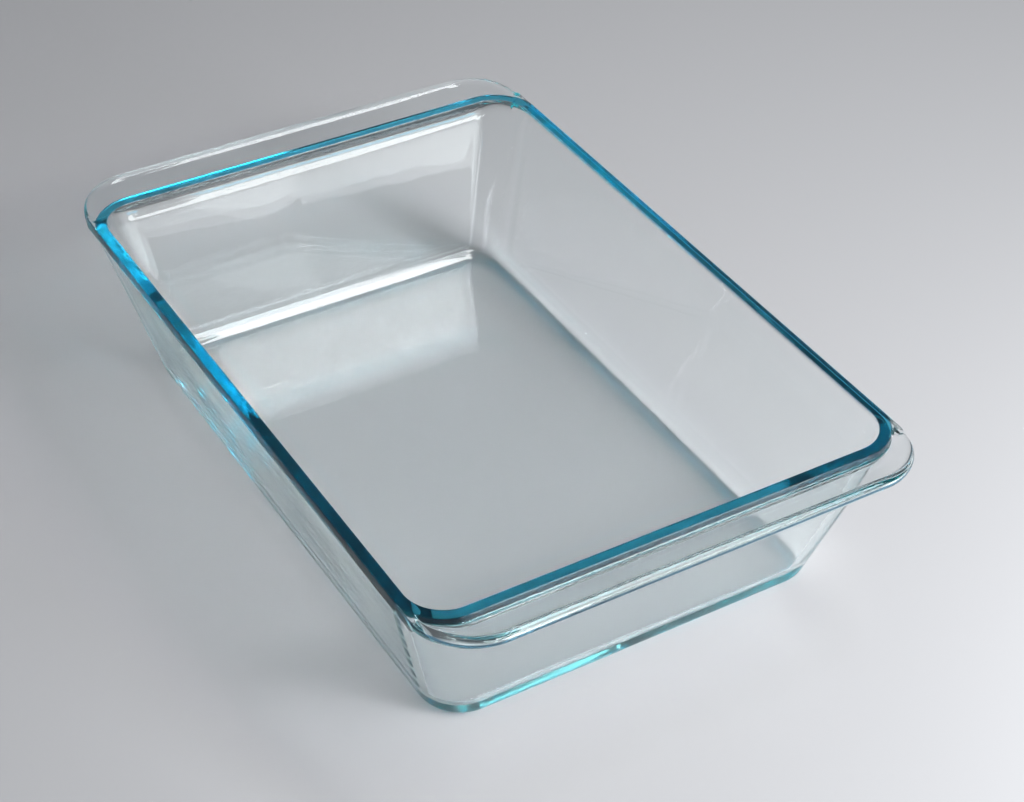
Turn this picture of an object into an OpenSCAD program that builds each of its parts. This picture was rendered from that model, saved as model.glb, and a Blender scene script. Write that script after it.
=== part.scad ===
// A deep oblong baking dish, pressed in one piece from clear glass: a flat base, leaning walls with
// rounded corners, a flat topped rim, and at each end a broad handle that dips below the rim and
// rises again to a round lip. Millimetres, +X along the dish, +Z up, origin under the middle of the base.

/* [Dish] */
// Length over the rim, without the handles
dish_l = 314; // [240:1:400]
// Width over the rim
dish_w = 228; // [170:1:300]
// Height of the rim's flat top above the table
dish_h = 80; // [50:1:110]
// Radius of the rim's outer corners, seen from above
rim_corner_r = 22; // [15:0.5:26]

/* [Walls] */
// How far the foot of an end wall stands in from the rim
end_lean = 18.5; // [12:0.5:26]
// How far the foot of a side wall stands in from the rim
side_lean = 20; // [12:0.5:26]
// Thickness of the wall at its foot
wall_t = 4.6; // [3.5:0.1:7]
// Thickness of the floor
floor_t = 5.5; // [3.5:0.1:9]
// Radius of the base's outer corners, seen from above
base_corner_r = 20; // [16:0.5:30]
// Radius of the outer edge between wall and base
base_edge_r = 8; // [4:0.5:12]
// Radius inside, between wall and floor
floor_edge_r = 9; // [5:0.5:11]

/* [Rim] */
// Width of the rim's flat top
rim_t = 5; // [3.5:0.1:8]
// Height of the upright band round the rim's outside
band_h = 5; // [3:0.1:8]
// How far the band stands out from the leaning wall under it
band_over = 0.25; // [0.15:0.05:2]
// Radius of the band's lower edge
band_edge_r = 0.2; // [0.1:0.1:1.4]
// Radius of the rim's top edges
rim_edge_r = 0.4; // [0.3:0.1:1.4]

/* [Handles] */
// How far a handle reaches out past the rim
handle_reach = 18; // [12:0.5:28]
// Radius of a handle's corners, seen from above
handle_corner_r = 27.5; // [22:0.5:34]
// Thickness of the round lip along a handle's edge
lip_d = 5.4; // [3.6:0.1:7]
// How far the lip's middle line lies below the rim's top
lip_drop = 0.7; // [0:0.1:3]
// The same where the lip runs into the rim's band
lip_drop_at_band = 2.4; // [1:0.1:4]
// How far a handle's top dips below the rim's top, beside the rim
dip = 3.3; // [2:0.1:5]
// Radius in the bottom of that dip
dip_r = 1.4; // [0.8:0.1:2]
// Radius between a handle's underside and the wall
under_r = 4; // [2:0.5:6]

/* [Hidden] */

// Slope of a handle's underside, in degrees
under_slope = 17;
// Where the lip's round ends on top of the handle, in degrees from straight out
lip_end = 109;
// Where round a corner a handle starts, in degrees from the dish's long axis
notch_at = 54;
// How many degrees of the corner the start takes
notch_turn = 6;
// Where round a corner the lip begins to sink toward the band
sink_from = 20;

// How many flat pieces make up each round
corner_steps = 24;
run_in_steps = 2;
foot_steps = 5;
under_steps = 3;
lip_under_steps = 3;
lip_over_steps = 4;
dip_steps = 2;
band_steps = 3;
top_steps = 2;
// The band has no lip or dip, so its flat top takes their share of the points
flat_steps = lip_under_steps + lip_over_steps + dip_steps - band_steps;

half_l = dish_l / 2;
half_w = dish_w / 2;
lip_r = lip_d / 2;

// Shaping helpers
function mix(a, b, share) = a + (b - a) * share;
function clamped(x) = min(1, max(0, x));
function eased(x) = let (s = clamped(x)) s * s * (3 - 2 * s);
function bend(a, b, c, share) = mix(mix(a, b, share), mix(b, c, share), share);

// One quarter of a rounded oblong has these stations, from its short side round to its long side.
// The first few are on the short side, where a handle's wider corner has already begun.
stations = run_in_steps + corner_steps;
run_in = max(handle_corner_r - rim_corner_r, rim_edge_r);
function turn(j) = 90 * max(0, j - run_in_steps) / corner_steps;
function outward(j) = [cos(turn(j)), sin(turn(j)), 0];
function on_oblong(j, size) =
    [size[0] - size[2], size[1] - size[2], 0]
    + size[2] * outward(j)
    - [0, run_in * max(0, run_in_steps - j) / run_in_steps, 0];
function up(z) = [0, 0, z];

// Half length, half width and corner radius of the oblongs that the walls run between
rim_size = [half_l, half_w, rim_corner_r];
base_size = [half_l - end_lean, half_w - side_lean, base_corner_r];
function grown(size, by) = [size[0] + by, size[1] + by, size[2] + by];
under_band = grown(rim_size, -band_over);
inner_base = grown(base_size, -wall_t);
inner_rim = grown(rim_size, -rim_t);

// Lean of a wall, in degrees, where a foot of radius r meets it without a break
function lean(foot, top, r, rise) =
    let (a = (top[0] + top[1] - foot[0] - foot[1]) / 2 + r, b = rise - r)
    acos(r / norm([a, b])) - atan2(b, a);
outer_lean = lean(base_size, under_band, base_edge_r, dish_h - band_h);
inner_lean = lean(inner_base, inner_rim, floor_edge_r, dish_h - floor_t);

// A foot's round from flat (share 0) to wall (share 1), over the height z0
function foot(j, size, r, z0, slope, share) =
    let (a = mix(-90, -slope, share))
    on_oblong(j, grown(size, r * cos(a) - r)) + up(z0 + r + r * sin(a));

// A wall at the height z
function wall(j, foot_size, r, z0, slope, top_size, top_z, z) =
    let (
        low = grown(foot_size, r * cos(slope) - r),
        low_z = z0 + r - r * sin(slope),
        share = (z - low_z) / (top_z - low_z)
    )
    on_oblong(j, mix(low, top_size, share)) + up(z);
function outer_wall(j, z) =
    wall(j, base_size, base_edge_r, 0, outer_lean, under_band, dish_h - band_h, z);
function inner_wall(j, z) =
    wall(j, inner_base, floor_edge_r, floor_t, inner_lean, inner_rim, dish_h, z);

// A point out from the rim's outline and up from the rim's top
function at_rim(j, out, z) = on_oblong(j, rim_size) + out * outward(j) + up(dish_h + z);

// How far out from the rim's outline a handle's outline lies
function reach(j) =
    let (
        start = on_oblong(j, rim_size),
        way = outward(j),
        centre = [half_l + handle_reach - handle_corner_r, half_w - handle_corner_r, 0],
        from = start - centre,
        along = from * way,
        out = sqrt(max(0, along * along - from * from + handle_corner_r * handle_corner_r)) - along,
        end = start + out * way
    )
    end[0] < centre[0] ? (half_w - start[1]) / way[1]
    : end[1] < centre[1] ? (half_l + handle_reach - start[0]) / way[0]
    : out;

// A quarter round that turns from straight down (share 0) to straight out (share 1), and one from
// straight out to straight up, both of radius r and lying just inside a point out and up from the rim
function lower_round(j, out, z, r, share) =
    at_rim(j, out + r * (sin(90 * share) - 1), z + r * (1 - cos(90 * share)));
function upper_round(j, out, z, r, share) =
    at_rim(j, out + r * (cos(90 * share) - 1), z + r * (sin(90 * share) - 1));

// The long sides' outline, from the wall under the band to the rim's flat top
function side_column(j) =
    let (
        out = reach(j),
        under = outer_wall(j, dish_h - band_h),
        low = lower_round(j, out, -band_h, band_edge_r, 0),
        flat_end = -3 * rim_edge_r
    )
    concat(
        [for (i = [0:under_steps])
            bend(outer_wall(j, dish_h - band_h - band_over), under, mix(under, low, 1 / 2),
                i / under_steps)],
        [for (i = [0:band_steps]) lower_round(j, out, -band_h, band_edge_r, i / band_steps)],
        [at_rim(j, out, -band_h / 2)],
        [for (i = [0:top_steps]) upper_round(j, out, 0, rim_edge_r, i / top_steps)],
        [for (i = [1:flat_steps]) at_rim(j, mix(out - rim_edge_r, flat_end, i / flat_steps), 0)]
    );

// The ends' outline, from the wall under the handle round the lip and down and up the dip
function end_column(j) =
    let (
        out = reach(j) - lip_r,
        sink = eased((turn(j) - sink_from) / (notch_at - sink_from)),
        middle = -mix(lip_drop, lip_drop_at_band, sink),
        turns = concat(
            [for (i = [0:lip_under_steps]) mix(under_slope - 90, 0, i / lip_under_steps)],
            [for (i = [1:lip_over_steps]) mix(0, lip_end, i / lip_over_steps)]
        ),
        lip = [for (a = turns) at_rim(j, out + lip_r * cos(a), middle + lip_r * sin(a))],
        under_run = out + lip_r * cos(turns[0]),
        under_z = lip[0][2] - under_run * tan(under_slope),
        under = outer_wall(j, under_z),
        under_end = mix(under, lip[0], min(1 / 2, under_r / norm(lip[0] - under))),
        lip_top = lip[len(lip) - 1],
        dip_at = at_rim(j, 0, -dip),
        dip_start = mix(dip_at, lip_top, min(1 / 2, dip_r / norm(lip_top - dip_at)))
    )
    concat(
        [for (i = [0:under_steps])
            bend(outer_wall(j, under_z - under_r), under, under_end, i / under_steps)],
        lip,
        [for (i = [0:dip_steps])
            bend(dip_start, dip_at, at_rim(j, 0, dip_r - dip), i / dip_steps)],
        [for (i = [0:top_steps]) upper_round(j, 0, 0, rim_edge_r, i / top_steps)]
    );

// Everything that one station shows, from the middle of the base out, up, over the rim and in again
function column(j) =
    let (
        share = eased((notch_at + notch_turn / 2 - turn(j)) / notch_turn),
        side = side_column(j),
        end = end_column(j),
        inner_top = inner_wall(j, dish_h - rim_edge_r)
    )
    concat(
        [for (i = [0:foot_steps])
            foot(j, base_size, base_edge_r, 0, outer_lean, i / foot_steps)],
        [for (i = [0:len(side) - 1]) mix(side[i], end[i], share)],
        [for (i = [0:top_steps])
            bend(at_rim(j, rim_edge_r - rim_t, 0), at_rim(j, -rim_t, 0), inner_top,
                i / top_steps)],
        [for (i = [foot_steps:-1:0])
            foot(j, inner_base, floor_edge_r, floor_t, inner_lean, i / foot_steps)]
    );

columns = [for (j = [0:stations]) column(j)];
rings = len(columns[0]);
quarter = stations + 1;
round_count = 4 * quarter;

// Station i of a whole ring: the four quarters are mirror images, taken in turn
function mirrored(p, quadrant) =
    [quadrant == 1 || quadrant == 2 ? -p[0] : p[0], quadrant > 1 ? -p[1] : p[1], p[2]];
function ring_point(k, i) =
    let (quadrant = floor(i / quarter), j = i % quarter)
    mirrored(columns[quadrant % 2 == 0 ? j : stations - j][k], quadrant);
function ring_index(k, i) = k * round_count + i % round_count;

// The skin is closed below and inside by fans of triangles round the middle of the base and the floor
base_middle = rings * round_count;
floor_middle = base_middle + 1;

module dish() {
    color("lightcyan", 0.5)
    polyhedron(
        points = concat(
            [for (k = [0:rings - 1]) for (i = [0:round_count - 1]) ring_point(k, i)],
            [[0, 0, 0], [0, 0, floor_t]]
        ),
        faces = concat(
            [for (i = [0:round_count - 1]) [base_middle, ring_index(0, i), ring_index(0, i + 1)]],
            [for (k = [0:rings - 2]) for (i = [0:round_count - 1]) for (half = [0:1])
                half == 0
                ? [ring_index(k, i), ring_index(k + 1, i), ring_index(k + 1, i + 1)]
                : [ring_index(k, i), ring_index(k + 1, i + 1), ring_index(k, i + 1)]],
            [for (i = [0:round_count - 1])
                [floor_middle, ring_index(rings - 1, i + 1), ring_index(rings - 1, i)]]
        ),
        convexity = 8
    );
}

dish();
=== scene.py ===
# %% [markdown]
# A deep glass baking dish
#
# This lesson makes one object: an oblong oven dish pressed from a single gob of clear glass. It has
# no separate pieces, so the whole lesson is about one closed skin, the glass that fills it, and the
# light that makes clear glass visible. The measured model comes first and stays as it is. The skin
# made here follows the same rules with many more steps, so that its edges bend light smoothly.

import math

import bmesh
import bpy
from mathutils import Matrix, Vector, noise


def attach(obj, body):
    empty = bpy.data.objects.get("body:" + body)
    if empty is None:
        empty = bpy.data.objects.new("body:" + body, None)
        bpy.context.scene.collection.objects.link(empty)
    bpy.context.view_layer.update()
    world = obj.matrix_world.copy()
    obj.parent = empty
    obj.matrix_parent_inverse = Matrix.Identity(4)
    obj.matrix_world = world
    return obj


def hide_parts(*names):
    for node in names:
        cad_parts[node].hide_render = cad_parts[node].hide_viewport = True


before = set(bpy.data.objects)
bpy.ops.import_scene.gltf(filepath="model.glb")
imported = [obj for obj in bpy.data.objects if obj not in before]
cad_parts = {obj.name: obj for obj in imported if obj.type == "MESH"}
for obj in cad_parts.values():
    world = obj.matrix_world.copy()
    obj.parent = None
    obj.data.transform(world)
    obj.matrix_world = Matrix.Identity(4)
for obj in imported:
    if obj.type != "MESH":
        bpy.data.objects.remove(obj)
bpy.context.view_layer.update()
scene = bpy.context.scene

# %% [markdown]
# The camera comes first, because everything else is judged through it. It stands where the
# photographer stood: to the right of the near handle, about a metre away, looking down at 38
# degrees with a long lens. A camera is placed by three directions that are square to each other:
# where its right side, its top and its back point. One 4 by 4 matrix holds them and the place.

# %% Camera
MM = 0.001

camera_right = Vector((0.51641, 0.85596, 0.02563))
camera_top = Vector((-0.54317, 0.30427, 0.78255))
camera_back = Vector((0.66203, -0.41804, 0.62206))
camera_place = Vector((668.70, -401.15, 654.51)) * MM

camera_data = bpy.data.cameras.new("camera")
camera_data.sensor_width = 36.0
camera_data.lens = 79.57
camera = bpy.data.objects.new("camera", camera_data)
scene.collection.objects.link(camera)
turned = Matrix((camera_right, camera_top, camera_back)).transposed().to_4x4()
camera.matrix_world = Matrix.Translation(camera_place) @ turned
scene.camera = camera
print("camera height", round(camera_place.z, 3))

# %% [markdown]
# These are the dish's own sizes, in millimetres, the same ones as the measured model's. An oblong
# is given by half its length, half its width and the radius of its corners. The foot of the dish is
# a smaller oblong than the rim, so the walls lean out, and that is what lets the dish leave its mould.
# One size differs: the lip's middle line lies 0.04 mm lower, because the lip is rounder here and would
# stand out of the measured model's box.

# %% Sizes of the dish
RIM = (157.0, 114.0, 22.0)
BASE = (138.5, 94.0, 20.0)
RIM_TOP = 80.0
WALL = 4.6
FLOOR = 5.5
BASE_EDGE = 8.0
FLOOR_EDGE = 9.0

RIM_WIDTH = 5.0
BAND_HIGH = 5.0
BAND_OUT = 0.25
BAND_EDGE = 0.2
RIM_EDGE = 0.4

REACH = 18.0
HANDLE_CORNER = 27.5
LIP = 2.7
LIP_DROP = 0.74
LIP_DROP_AT_BAND = 2.4
DIP = 3.3
DIP_ROUND = 1.4
UNDER_ROUND = 4.0
UNDER_SLOPE = math.radians(17)
LIP_END = math.radians(109)
HANDLE_START = math.radians(54)
HANDLE_START_TURN = math.radians(6)
LIP_SINKS_FROM = math.radians(20)

# %% [markdown]
# A few helpers for going between two values. An eased share starts and ends slowly, which is how one
# shape runs into another without a crease. A bend is a short curve that starts along one line and
# ends along another, as the glass does in each inside corner of the mould.

# %% Helpers for in-between values


def between(a, b, share):
    return a + (b - a) * share


def eased(x):
    s = min(1.0, max(0.0, x))
    return s * s * (3 - 2 * s)


def bend(a, b, c, share):
    return between(between(a, b, share), between(b, c, share), share)


def grown(size, by):
    return tuple(v + by for v in size)


def mixed(a, b, share):
    return tuple(between(x, y, share) for x, y in zip(a, b))


# %% [markdown]
# A quarter of the dish is enough, because the other three are its mirror images. It is measured off
# in stations, from the middle of the short side, round the corner, to the middle of the long side.
# Stations stand closest together near the corner, where the outline starts to turn, and CROWDING says
# how strongly. A station is a turn and two shares, which say how far along the short side and how far
# along the long side it lies, each counted from the middle of that side.

# %% Stations round a quarter of the dish
SHORT_STATIONS = 20
CORNER_STATIONS = 60
LONG_STATIONS = 26
CROWDING = 1.6


def stations():
    made = []
    for i in range(SHORT_STATIONS):
        made.append((0.0, 1 - (1 - i / SHORT_STATIONS) ** CROWDING, 1.0))
    for i in range(CORNER_STATIONS + 1):
        made.append((math.pi / 2 * i / CORNER_STATIONS, 1.0, 1.0))
    for i in range(1, LONG_STATIONS + 1):
        made.append((math.pi / 2, 1.0, 1 - (i / LONG_STATIONS) ** CROWDING))
    return made


def outward(station):
    return Vector((math.cos(station[0]), math.sin(station[0]), 0))


def on_oblong(station, size):
    turn, along_short, along_long = station
    half_l, half_w, r = size
    middle = Vector(((half_l - r) * along_long, (half_w - r) * along_short, 0))
    return middle + outward(station) * r


def up(z):
    return Vector((0, 0, z))


STATIONS = stations()
print("stations in a quarter", len(STATIONS))

# %% [markdown]
# Both sides of the wall start in a round foot and run up straight from where that round ends. The
# lean is the slope at which the straight part leaves the round without a kink. A wall point is found
# by its height: the higher it is, the nearer its oblong is to the rim's.

# %% Feet and walls
INNER_BASE = grown(BASE, -WALL)
INNER_RIM = grown(RIM, -RIM_WIDTH)
UNDER_BAND = grown(RIM, -BAND_OUT)


def lean_of(foot_size, top_size, r, rise):
    a = (top_size[0] + top_size[1] - foot_size[0] - foot_size[1]) / 2 + r
    b = rise - r
    return math.acos(r / math.hypot(a, b)) - math.atan2(b, a)


OUTER_LEAN = lean_of(BASE, UNDER_BAND, BASE_EDGE, RIM_TOP - BAND_HIGH)
INNER_LEAN = lean_of(INNER_BASE, INNER_RIM, FLOOR_EDGE, RIM_TOP - FLOOR)


def foot(station, size, r, z, lean, share):
    a = between(-math.pi / 2, -lean, share)
    return on_oblong(station, grown(size, r * math.cos(a) - r)) + up(z + r + r * math.sin(a))


def wall(station, size, r, z, lean, top_size, top_z, height):
    low = grown(size, r * math.cos(lean) - r)
    low_z = z + r - r * math.sin(lean)
    return on_oblong(station, mixed(low, top_size, (height - low_z) / (top_z - low_z))) + up(height)


def outer_wall(station, height):
    return wall(
        station, BASE, BASE_EDGE, 0, OUTER_LEAN, UNDER_BAND, RIM_TOP - BAND_HIGH, height
    )


def inner_wall(station, height):
    return wall(
        station, INNER_BASE, FLOOR_EDGE, FLOOR, INNER_LEAN, INNER_RIM, RIM_TOP, height
    )


print("walls lean", round(math.degrees(OUTER_LEAN), 1), round(math.degrees(INNER_LEAN), 1))

# %% [markdown]
# The rim is the part people see first: a flat top 5 mm wide, with an upright band of the same height
# round its outside, where the walls stop leaning. Each end widens into a handle. From the rim the
# handle dips, runs out and ends in a round lip. Seen from above, the handle's outline is an oblong of
# its own, 18 mm longer at each end, and reach() finds how far out it lies.

# %% Points on the rim and the handles


def at_rim(station, out, z):
    return on_oblong(station, RIM) + outward(station) * out + up(RIM_TOP + z)


def reach(station):
    start = on_oblong(station, RIM)
    way = outward(station)
    centre = Vector((RIM[0] + REACH - HANDLE_CORNER, RIM[1] - HANDLE_CORNER, 0))
    gap = start - centre
    along = gap.dot(way)
    out = math.sqrt(max(0.0, along * along - gap.dot(gap) + HANDLE_CORNER**2)) - along
    end = start + way * out
    if end.x < centre.x:
        return (RIM[1] - start.y) / way.y
    if end.y < centre.y:
        return (RIM[0] + REACH - start.x) / way.x
    return out


def lower_round(station, out, z, r, share):
    a = math.pi / 2 * share
    return at_rim(station, out + r * (math.sin(a) - 1), z + r * (1 - math.cos(a)))


def upper_round(station, out, z, r, share):
    a = math.pi / 2 * share
    return at_rim(station, out + r * (math.cos(a) - 1), z + r * (math.sin(a) - 1))


def steps(count, first=0):
    return [i / count for i in range(first, count + 1)]


print("handle reaches out", round(reach(STATIONS[0]), 1), "mm")

# %% [markdown]
# Going up a station, the skin has one outline along the long sides and another at the ends. Both
# lists hold the same number of points, so that near the corner one can turn into the other. The side
# has the simpler shape, and lays its spare points on the rim's flat, in the outermost 1.2 mm.

# %% The two outlines from the wall to the rim's top
UNDER_STEPS = 6
LIP_UNDER_STEPS = 9
LIP_OVER_STEPS = 12
DIP_STEPS = 6
BAND_STEPS = 9
EDGE_STEPS = 5
FLAT_STEPS = LIP_UNDER_STEPS + LIP_OVER_STEPS + DIP_STEPS - BAND_STEPS
FLAT_END = 1.2


def side_outline(s):
    out = reach(s)
    under = outer_wall(s, RIM_TOP - BAND_HIGH)
    low = lower_round(s, out, -BAND_HIGH, BAND_EDGE, 0)
    start = outer_wall(s, RIM_TOP - BAND_HIGH - BAND_OUT)
    half = between(under, low, 0.5)
    made = [bend(start, under, half, k) for k in steps(UNDER_STEPS)]
    made += [lower_round(s, out, -BAND_HIGH, BAND_EDGE, k) for k in steps(BAND_STEPS)]
    made.append(at_rim(s, out, -BAND_HIGH / 2))
    made += [upper_round(s, out, 0, RIM_EDGE, k) for k in steps(EDGE_STEPS)]
    first, last = out - RIM_EDGE, -FLAT_END
    made += [at_rim(s, between(first, last, k), 0) for k in steps(FLAT_STEPS, 1)]
    return made


def end_outline(s):
    out = reach(s) - LIP
    sunk = eased((s[0] - LIP_SINKS_FROM) / (HANDLE_START - LIP_SINKS_FROM))
    middle = -between(LIP_DROP, LIP_DROP_AT_BAND, sunk)
    turns = [between(UNDER_SLOPE - math.pi / 2, 0, k) for k in steps(LIP_UNDER_STEPS)]
    turns += [between(0, LIP_END, k) for k in steps(LIP_OVER_STEPS, 1)]
    lip = [at_rim(s, out + LIP * math.cos(a), middle + LIP * math.sin(a)) for a in turns]
    run = out + LIP * math.cos(turns[0])
    under_z = lip[0].z - run * math.tan(UNDER_SLOPE)
    under = outer_wall(s, under_z)
    away = between(under, lip[0], min(0.5, UNDER_ROUND / (lip[0] - under).length))
    start = outer_wall(s, under_z - UNDER_ROUND)
    made = [bend(start, under, away, k) for k in steps(UNDER_STEPS)]
    made += lip
    dip = at_rim(s, 0, -DIP)
    dip_start = between(dip, lip[-1], min(0.5, DIP_ROUND / (lip[-1] - dip).length))
    made += [bend(dip_start, dip, at_rim(s, 0, DIP_ROUND - DIP), k) for k in steps(DIP_STEPS)]
    made += [upper_round(s, 0, 0, RIM_EDGE, k) for k in steps(EDGE_STEPS)]
    return made


print("points in an outline", len(side_outline(STATIONS[0])), len(end_outline(STATIONS[0])))

# %% [markdown]
# One whole column runs from the middle of the base out and up the outside, over the rim, down the
# inside and back to the middle of the floor. The floor and the base are drawn in ring by ring to a
# short line along the dish's middle, where the mirrored quarters meet.

# %% A whole column of the skin
FOOT_STEPS = 10
OUTER_STEPS = 20
INNER_STEPS = 18
FLOOR_RINGS = 12
BASE_RINGS = 8


def drawn_in(size, share):
    by = (1 - share) * size[1]
    return (size[0] - by, size[1] - by, size[2] * share)


def column(s):
    share = eased((HANDLE_START + HANDLE_START_TURN / 2 - s[0]) / HANDLE_START_TURN)
    pairs = zip(side_outline(s), end_outline(s))
    top = [between(side, end, share) for side, end in pairs]
    flat_base = grown(BASE, -BASE_EDGE)
    flat_floor = grown(INNER_BASE, -FLOOR_EDGE)
    made = [on_oblong(s, drawn_in(flat_base, i / BASE_RINGS)) for i in range(BASE_RINGS)]
    made += [foot(s, BASE, BASE_EDGE, 0, OUTER_LEAN, k) for k in steps(FOOT_STEPS)]
    low = made[-1].z
    made += [outer_wall(s, between(low, top[0].z, k)) for k in steps(OUTER_STEPS, 1)[:-1]]
    made += top
    inner_top = inner_wall(s, RIM_TOP - RIM_EDGE)
    edge = at_rim(s, RIM_EDGE - RIM_WIDTH, 0), at_rim(s, -RIM_WIDTH, 0), inner_top
    made += [bend(*edge, k) for k in steps(EDGE_STEPS)]
    inner_foot = [foot(s, INNER_BASE, FLOOR_EDGE, FLOOR, INNER_LEAN, k) for k in steps(FOOT_STEPS)]
    high, low = RIM_TOP - RIM_EDGE, inner_foot[-1].z
    made += [inner_wall(s, between(high, low, k)) for k in steps(INNER_STEPS, 1)[:-1]]
    made += inner_foot[::-1]
    for i in reversed(range(FLOOR_RINGS)):
        made.append(on_oblong(s, drawn_in(flat_floor, i / FLOOR_RINGS)) + up(FLOOR))
    return made


COLUMNS = [column(s) for s in STATIONS]
print("rings in a column", len(COLUMNS[0]))

# %% [markdown]
# Pressed glass is never quite flat. It chills against the mould while it still moves, and keeps a
# slow ripple of a few hundredths of a millimetre. That ripple is what makes reflections swim in a
# real dish, so it is put into the shape here and not only into the finish. A finer ripple lies over
# the wide one. Both fade out towards the rim, the lip and the flat underside, which stay true.

# %% The slow ripple of pressed glass
RIPPLE = 0.04
RIPPLE_LENGTH = 42.0
UPRIGHT_SQUEEZE = 1.4
FINE_RIPPLE_SHARE = 0.3
FINE_RIPPLE_LENGTH = RIPPLE_LENGTH / 2.6
FINE_RIPPLE_SHIFT = 300
TRUE_UNDER_RIM = 6
TRUE_OVER_BASE = 0.5
FADE_UNDER_RIM = 9
FADE_OVER_BASE = 5


def ripple(point):
    squeezed = Vector((point.x, point.y, point.z * UPRIGHT_SQUEEZE))
    shifted = Vector((point.x + FINE_RIPPLE_SHIFT, point.y, point.z))
    wide = noise.noise(squeezed / RIPPLE_LENGTH)
    fine = noise.noise(shifted / FINE_RIPPLE_LENGTH)
    return RIPPLE * (wide + FINE_RIPPLE_SHARE * fine)


def share_of_ripple(z):
    under_rim = eased((RIM_TOP - TRUE_UNDER_RIM - z) / FADE_UNDER_RIM)
    over_base = eased((z - TRUE_OVER_BASE) / FADE_OVER_BASE)
    return under_rim * over_base


print("ripple at its highest", round(RIPPLE * (1 + FINE_RIPPLE_SHARE), 3), "mm")

# %% [markdown]
# The skin starts as a flat sheet with one square for each step, which a grid operator makes. Every
# corner of the sheet is then sent to its place in the column, so the sheet wraps round the quarter.
# Two mirrors make it whole, and merging closes the seams. Mirroring can turn a skin inside out, so
# its faces are made to point outward last.

# %% Make the skin
ON_SEAM = 1e-6
SAME_POINT = 2e-6
NO_LENGTH = 1e-7


def make_dish():
    across, along = len(STATIONS) - 1, len(COLUMNS[0]) - 1
    bm = bmesh.new()
    bmesh.ops.create_grid(bm, x_segments=across, y_segments=along, size=1.0)
    for v in bm.verts:
        i = round((v.co.x + 1) / 2 * across)
        k = round((v.co.y + 1) / 2 * along)
        v.co = COLUMNS[i][k] * MM
    for axis in ("X", "Y"):
        everything = bm.verts[:] + bm.edges[:] + bm.faces[:]
        bmesh.ops.mirror(bm, geom=everything, matrix=Matrix(), merge_dist=ON_SEAM, axis=axis)
    bmesh.ops.remove_doubles(bm, verts=bm.verts, dist=SAME_POINT)
    bmesh.ops.dissolve_degenerate(bm, dist=NO_LENGTH, edges=bm.edges)
    bmesh.ops.recalc_face_normals(bm, faces=bm.faces)
    bm.normal_update()
    for v in bm.verts:
        moved = ripple(v.co / MM) * share_of_ripple(v.co.z / MM)
        v.co += v.normal * (moved * MM)
    for f in bm.faces:
        f.smooth = True
    open_edges = [e for e in bm.edges if len(e.link_faces) != 2]
    print("faces", len(bm.faces), "open edges", len(open_edges))
    print("litres of glass", bm.calc_volume() * 1000)
    mesh = bpy.data.meshes.new("glass_dish")
    bm.to_mesh(mesh)
    bm.free()
    made = bpy.data.objects.new("glass_dish", mesh)
    scene.collection.objects.link(made)
    return made


dish = make_dish()
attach(dish, "root")
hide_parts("dish")

# %% [markdown]
# A small helper adds a node and returns it. What is given by name is a setting of the node or one of
# its inputs. What is given by socket is either another node's output, which gets linked, or a value.
# Colours are written as hex codes, the way a paint chart gives them, and one function turns them into
# the linear values that the renderer works in.

# %% Helpers for materials


def linear(code):
    values = [int(code[i : i + 2], 16) / 255 for i in (1, 3, 5)]
    return [v / 12.92 if v <= 0.04045 else ((v + 0.055) / 1.055) ** 2.4 for v in values] + [1.0]


def new_material(name):
    made = bpy.data.materials.new(name)
    made.use_nodes = True
    made.node_tree.nodes.clear()
    return made


def add(material, kind, sockets=(), **settings):
    node = material.node_tree.nodes.new(kind)
    for key, value in settings.items():
        name = key.replace("_", " ")
        if name in node.inputs:
            node.inputs[name].default_value = value
        else:
            setattr(node, key, value)
    for socket, value in dict(sockets).items():
        if isinstance(value, bpy.types.NodeSocket):
            material.node_tree.links.new(value, node.inputs[socket])
        else:
            node.inputs[socket].default_value = value
    return node


# %% [markdown]
# The glass itself is clear: in a wall 5 mm thick its colour can't be seen. But along the rim the eye
# looks down through the whole height of the wall, and there the little iron in the melt swallows the
# red first. That colour is put inside, as absorption for each metre of glass, and the renderer finds
# by itself where it gathers. Only the rim's darker blue, which is shade, is painted on the skin below.

# %% Pressed borosilicate glass, its skin
# Borosilicate oven glass: fire polished after pressing, so it is smooth and mirrors its surroundings
# sharply, with an index of refraction of 1.47 and a blue green cast that only long paths show.
glass = new_material("pressed_borosilicate_glass")
place = add(glass, "ShaderNodeTexCoord").outputs["Object"]
# The mould's polish leaves a fine ripple, this far from crest to crest
SKIN_RIPPLE = 9.09
# Height of the bump, of which its strength leaves only a hundredth
SKIN_BUMP = 0.6
# Handling leaves faint dull patches, this wide
DULL_PATCH = 29.4

skin = add(
    glass,
    "ShaderNodeTexNoise",
    {"Vector": place},
    Scale=1 / (SKIN_RIPPLE * MM),
    Detail=2.0,
    Roughness=0.45,
)
skin_bump = add(
    glass,
    "ShaderNodeBump",
    {"Height": skin.outputs["Fac"]},
    Strength=0.01,
    Distance=SKIN_BUMP * MM,
)
dull = add(
    glass,
    "ShaderNodeTexNoise",
    {"Vector": place},
    Scale=1 / (DULL_PATCH * MM),
    Detail=4.0,
    Roughness=0.6,
)
dull_range = add(
    glass,
    "ShaderNodeMapRange",
    {"Value": dull.outputs["Fac"]},
    From_Min=0.35,
    From_Max=0.75,
    To_Min=0.0,
    To_Max=0.03,
)
for texture in (skin, dull):
    print("pattern scale", round(texture.inputs["Scale"].default_value, 1))
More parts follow.
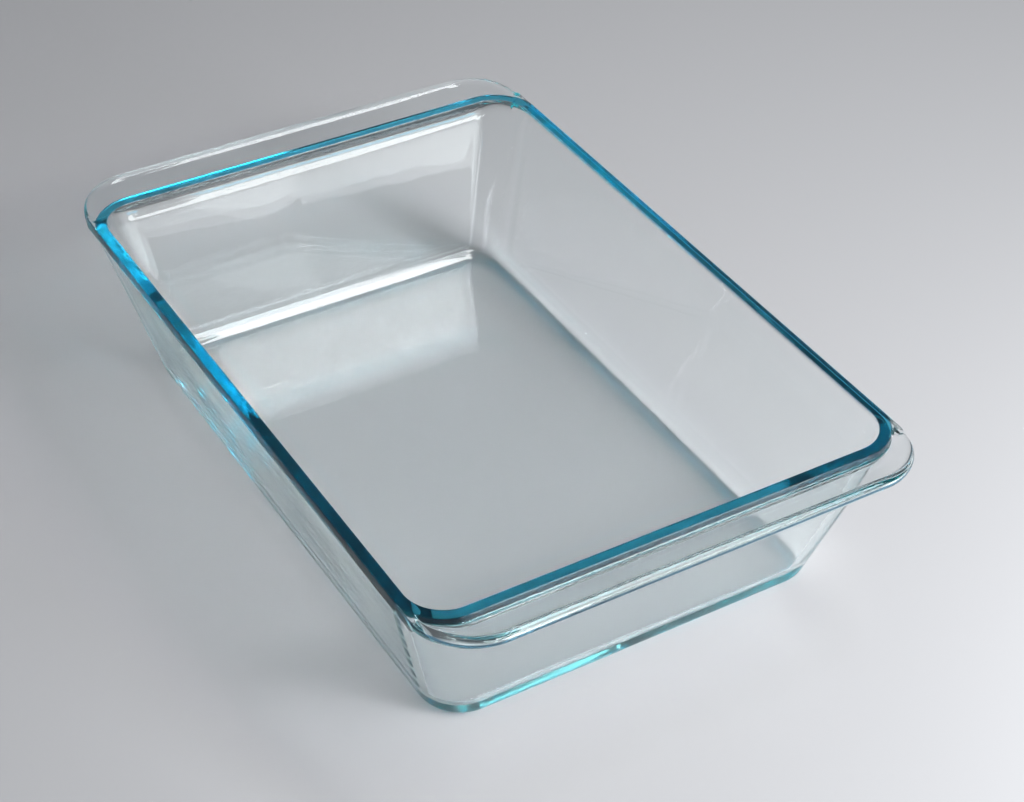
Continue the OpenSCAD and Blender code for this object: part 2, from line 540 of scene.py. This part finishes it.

# %% [markdown]
# The rim is the exception. In the real dish it is a deep blue line most of the way round, darker than
# absorption alone gives over a pale table, because the long sight lines through the real rim end in
# shade. So shade is painted on the skin there, in the glass's own blue: the flat top somewhat, the
# upright face more, and a thin dark line along each handle's lip, just under its highlight. The
# painted shade has to follow a rounded oblong. Folding the dish onto one quarter and measuring how far
# a point lies from the centre of its corner gives that distance on the straight sides and round the
# corners.

# %% How far a point lies from the corners' centres
folded = add(glass, "ShaderNodeVectorMath", {0: place}, operation="ABSOLUTE").outputs["Vector"]
height = add(glass, "ShaderNodeSeparateXYZ", {"Vector": place}).outputs["Z"]


def away_from_corner(size):
    centre = ((size[0] - size[2]) * MM, (size[1] - size[2]) * MM, 1.0)
    gap = add(glass, "ShaderNodeVectorMath", {0: folded, 1: centre}, operation="SUBTRACT")
    past = add(
        glass,
        "ShaderNodeVectorMath",
        {0: gap.outputs["Vector"], 1: (0, 0, 0)},
        operation="MAXIMUM",
    )
    length = add(
        glass, "ShaderNodeVectorMath", {0: past.outputs["Vector"]}, operation="LENGTH"
    )
    return length.outputs["Value"]


away = away_from_corner(RIM)
lip_away = away_from_corner((RIM[0] + REACH, RIM[1], HANDLE_CORNER))
print("corner centres", RIM[0] - RIM[2], RIM[0] + REACH - HANDLE_CORNER, "mm from the middle")

# %% [markdown]
# Each stretch of painted shade has a few limits, and each limit is a soft step: nothing before its
# first distance, everything past its second. A point is painted as far as it is inside all the limits
# of its stretch, so the steps are multiplied. The upright face lets the eye in only once, so it gets
# the darkest of the painted shades.

# %% The painted shade of the rim and the lips, in the glass's blue
FADE = 0.2
LIP_FADE = 0.1
LIP_LINE_IN = 0.3
LIP_LINE_TOP = RIM_TOP - 0.05
LIP_LINE_END = RIM_TOP - 1.3
RIM_INSIDE = RIM[2] - RIM_WIDTH
# The rim's painted shade stops 1 mm above the foot of its upright band
PAINTED_SHADE_END = RIM_TOP - BAND_HIGH + 1.0

LIMITS = {
    "rim inside": (away, RIM_INSIDE - FADE, RIM_INSIDE + FADE),
    "rim outside": (away, RIM[2] + FADE, RIM[2] + FADE / 4),
    "rim lower end": (height, PAINTED_SHADE_END - FADE, PAINTED_SHADE_END + FADE),
    "face": (away, RIM[2] - 2 * FADE, RIM[2] - FADE),
    "lip side": (lip_away, HANDLE_CORNER - 2 * LIP_LINE_IN, HANDLE_CORNER - LIP_LINE_IN),
    "lip upper end": (height, LIP_LINE_TOP + LIP_FADE, LIP_LINE_TOP - LIP_FADE),
    "lip lower end": (height, LIP_LINE_END - LIP_FADE, LIP_LINE_END + LIP_FADE),
}
# Painted shade, in the glass's blue: a line under each lip's highlight, the rim's top, its face
# darkest
TINTS_AND_PAINTED_SHADE = (
    ("#2F6A90", ("lip side", "lip upper end", "lip lower end")),
    ("#127FA6", ("rim inside", "rim outside", "rim lower end")),
    ("#07344C", ("rim inside", "rim outside", "rim lower end", "face")),
)
# A Mix node has a pair of inputs for each kind of value: these two hold colours
FIRST_COLOUR, SECOND_COLOUR, MIXED_COLOUR = 6, 7, 2

soft_steps = {}
for name, (measured, nothing, everything) in LIMITS.items():
    step = add(
        glass,
        "ShaderNodeMapRange",
        {"Value": measured},
        interpolation_type="SMOOTHSTEP",
        From_Min=nothing * MM,
        From_Max=everything * MM,
    )
    soft_steps[name] = step.outputs["Result"]

# The base colour starts as clear white glass, and each stretch mixes in its painted shade
tint_and_painted_shade = linear("#FFFFFF")
for code, names in TINTS_AND_PAINTED_SHADE:
    share = soft_steps[names[0]]
    for name in names[1:]:
        inside_both = {0: share, 1: soft_steps[name]}
        share = add(glass, "ShaderNodeMath", inside_both, operation="MULTIPLY").outputs["Value"]
    mix = {0: share, FIRST_COLOUR: tint_and_painted_shade, SECOND_COLOUR: linear(code)}
    tint_and_painted_shade = add(glass, "ShaderNodeMix", mix, data_type="RGBA").outputs[MIXED_COLOUR]
print("tinted stretches", len(TINTS_AND_PAINTED_SHADE), "limits", len(LIMITS))

# %% Pressed borosilicate glass, put together
# The base colour carries the painted shade of the rim and the lips
surface = add(
    glass,
    "ShaderNodeBsdfPrincipled",
    {
        "Base Color": tint_and_painted_shade,
        "Normal": skin_bump.outputs["Normal"],
        "Roughness": dull_range.outputs["Result"],
    },
    IOR=1.474,
    Transmission_Weight=1.0,
)
inside = add(glass, "ShaderNodeVolumeAbsorption", Color=linear("#59EEF2"), Density=6.0)
add(
    glass,
    "ShaderNodeOutputMaterial",
    {"Surface": surface.outputs["BSDF"], "Volume": inside.outputs["Volume"]},
)
dish.data.materials.append(glass)
print("nodes in the glass", len(glass.node_tree.nodes))

# %% [markdown]
# Light that enters the rim is mirrored on the inside of the walls again and again before it leaves, as
# in a light guide. A renderer gives up after a set number of bounces and calls the rest black, so the
# number is raised until the rim stays bright. Glossy blur saves noise on rough things, but here it
# would stop light from passing clearly through the glass to the slab, so it is off. Light that comes
# by way of a bounce is capped instead, and only where it is very strong, so that it leaves no specks.

# %% Bounces enough for glass
scene.cycles.max_bounces = 48
scene.cycles.glossy_bounces = 48
scene.cycles.transmission_bounces = 48
scene.cycles.blur_glossy = 0.0
scene.cycles.sample_clamp_indirect = 20.0
print("bounces", scene.cycles.max_bounces)

# %% [markdown]
# The dish stands on a plain pale slab. The slab lies a hair below the base, so that there is air
# between the two, as there is under a real dish, and the renderer never has to choose between them.

# %% Pale slab
SLAB_GAP = 0.15 * MM
SLAB_HALF = 4.0

slab_finish = new_material("pale_honed_stone")
slab_surface = add(
    slab_finish, "ShaderNodeBsdfPrincipled", Base_Color=linear("#B0B1B4"), Roughness=0.6
)
add(slab_finish, "ShaderNodeOutputMaterial", {"Surface": slab_surface.outputs["BSDF"]})
bm = bmesh.new()
bmesh.ops.create_grid(bm, x_segments=1, y_segments=1, size=SLAB_HALF)
bmesh.ops.translate(bm, verts=bm.verts, vec=(0, 0, -SLAB_GAP))
slab_mesh = bpy.data.meshes.new("slab")
bm.to_mesh(slab_mesh)
bm.free()
slab = bpy.data.objects.new("slab", slab_mesh)
slab.data.materials.append(slab_finish)
scene.collection.objects.link(slab)
print("slab", 2 * SLAB_HALF, "metres wide")

# %% [markdown]
# Clear glass shows only what it mirrors and bends, so the light is half of the picture. Each light
# stands where a part of the dish mirrors it towards the camera. The main light is a long soft box on
# the right, leaning back over the dish: from it come the white band along the far foot, the sheen on
# the far wall and the line along the handles' lips. A smaller box stands nearer to the camera's side.
# The left rim guides its light along inside the glass and out to the eye, as a bright blue stretch. A
# low round light near the table lights the mirror in the far wall's upper part. It is made of three
# discs, one before the other, so that its mirror image fades towards its edge. The room itself is dim,
# which gives the glass its dark edges. A box's light is given by how brightly its cloth glows, and its
# power follows from its area.

# %% Soft boxes and room
MIDDLE_OF_DISH = Vector((0, 0, 0.05))


def soft_box(name, foot_end, head_end, width, glow, shape="RECTANGLE"):
    low, high = Vector(foot_end), Vector(head_end)
    lamp = bpy.data.lights.new(name, "AREA")
    lamp.shape = shape
    lamp.size, lamp.size_y = width, (high - low).length
    filled = math.pi / 4 if shape == "ELLIPSE" else 1.0
    lamp.energy = glow * math.pi * lamp.size * lamp.size_y * filled
    middle = (low + high) / 2
    along = (high - low).normalized()
    back = middle - MIDDLE_OF_DISH
    back = (back - along * back.dot(along)).normalized()
    turned = Matrix((along.cross(back), along, back)).transposed().to_4x4()
    made = bpy.data.objects.new(name, lamp)
    made.matrix_world = Matrix.Translation(middle) @ turned
    made.visible_camera = False
    scene.collection.objects.link(made)
    print(name, "watts", round(lamp.energy, 1))


soft_box(
    "main_soft_box",
    foot_end=(1.21, 0.425, 0.31),
    head_end=(-0.11, 0.645, 1.82),
    width=0.34,
    glow=12.5,
)
soft_box(
    "camera_side_box",
    foot_end=(0.95, 0.0, 0.78),
    head_end=(0.86, 0.33, 0.82),
    width=0.16,
    glow=34.0,
)

LOW_PLACE = Vector((0.31, 0.28, 0.035))
LOW_HALF = Vector((0.18, -0.20, 0))
LOW_WIDTH = 0.13
LOW_DISCS = (("wide", 1.25, 1.0, 1.1), ("middle", 1.0, 0.985, 1.2), ("small", 0.75, 0.97, 1.6))
for name, size, nearer, glow in LOW_DISCS:
    middle, half = LOW_PLACE * nearer, LOW_HALF * size
    soft_box("low_round_" + name, middle + half, middle - half, LOW_WIDTH * size, glow, "ELLIPSE")

room = bpy.data.worlds.new("room")
room.use_nodes = True
room.node_tree.nodes["Background"].inputs["Color"].default_value = linear("#7C7F84")
room.node_tree.nodes["Background"].inputs["Strength"].default_value = 0.5
scene.world = room
scene.view_settings.view_transform = "Standard"
